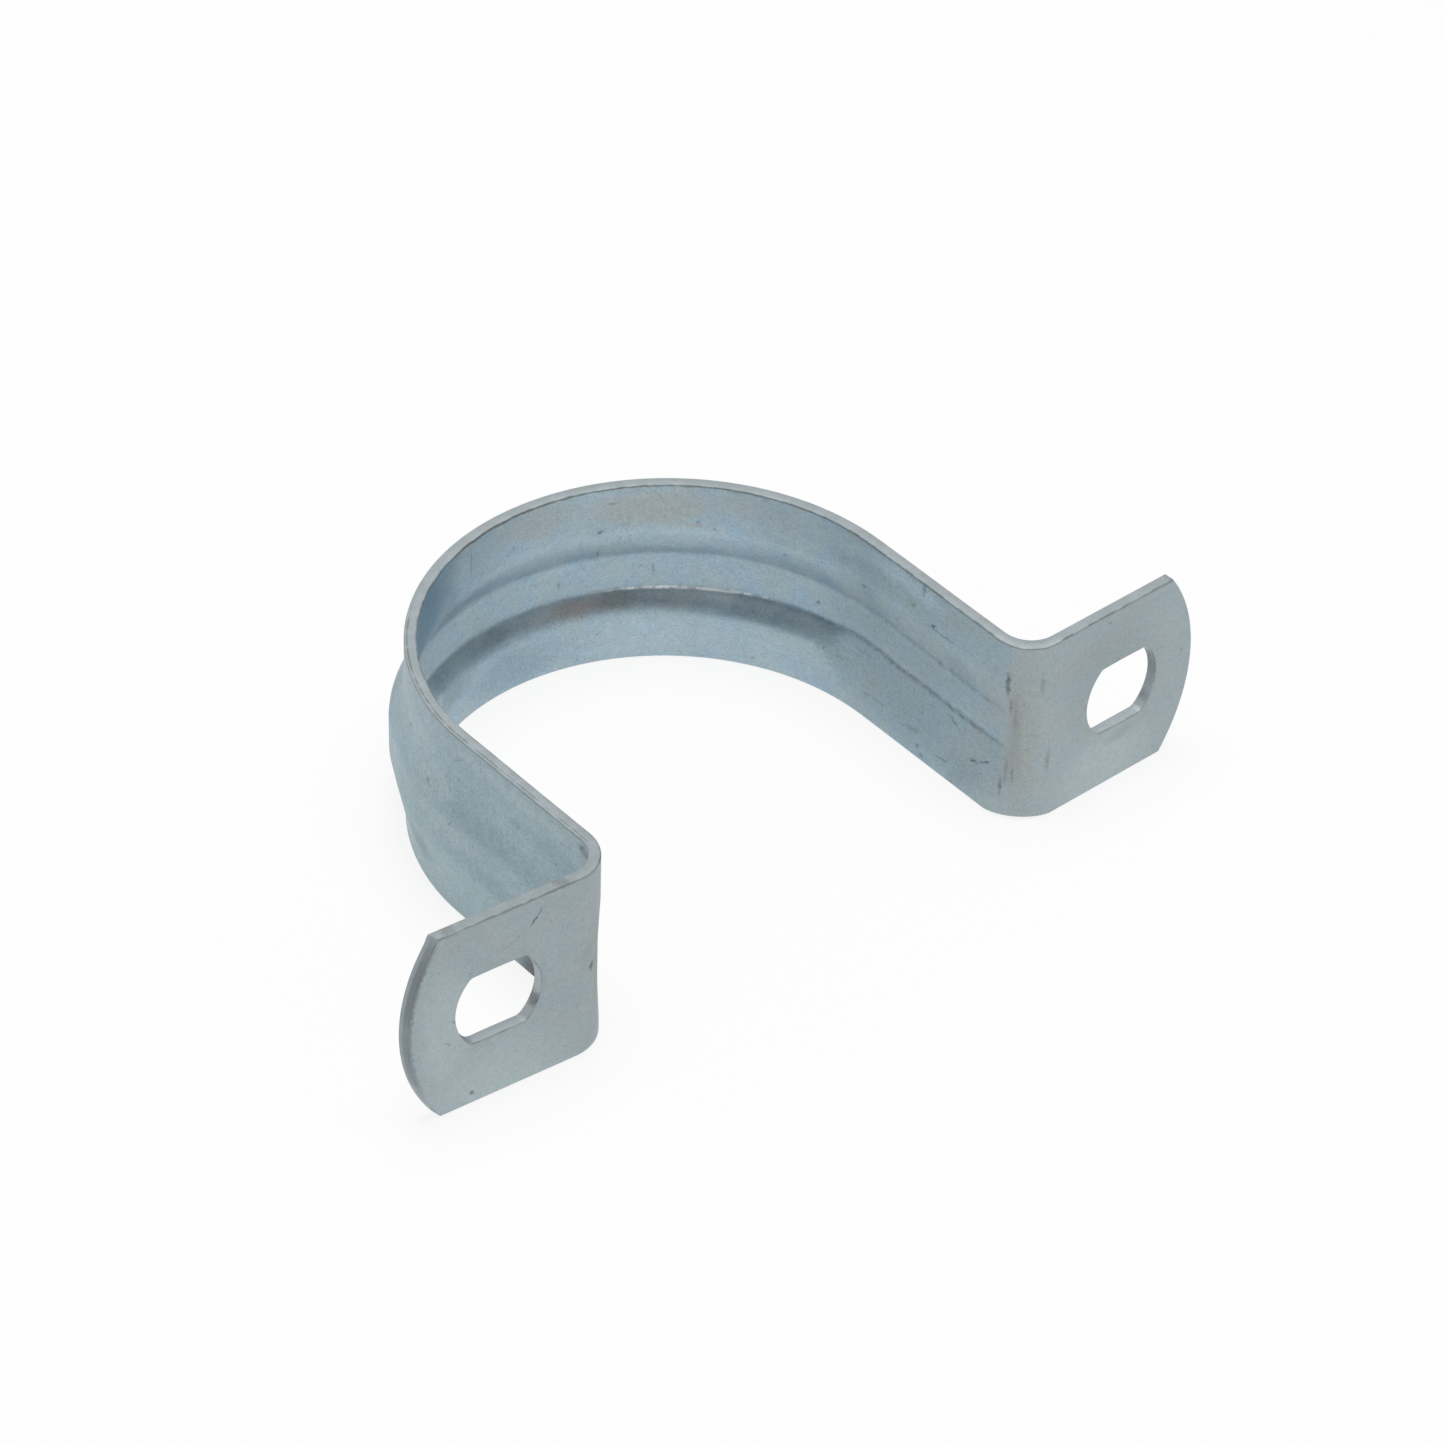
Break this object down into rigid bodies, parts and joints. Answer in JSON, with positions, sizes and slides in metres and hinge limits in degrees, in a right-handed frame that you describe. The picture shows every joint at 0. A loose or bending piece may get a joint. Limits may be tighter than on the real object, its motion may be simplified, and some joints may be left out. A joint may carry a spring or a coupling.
{
  "type": "conduit clamp",
  "caption": "Steel strap that arches over a round conduit, with a pressed stiffening bead and slotted feet that screw to a surface",
  "frame": {"origin": "on the conduit's axis, level with the lower edge of the strap, on which it stands", "axes": "+X along the feet towards the right foot, +Y from the conduit's axis to the crown of the arch, +Z along the conduit, up the width of the strap"},
  "size_m": [0.0859, 0.0453, 0.0192],
  "materials": {
    "zinc_steel": "zinc plated, satin"
  },
  "bodies": {
    "root": {"strap": "zinc_steel"}
  },
  "joints": []
}
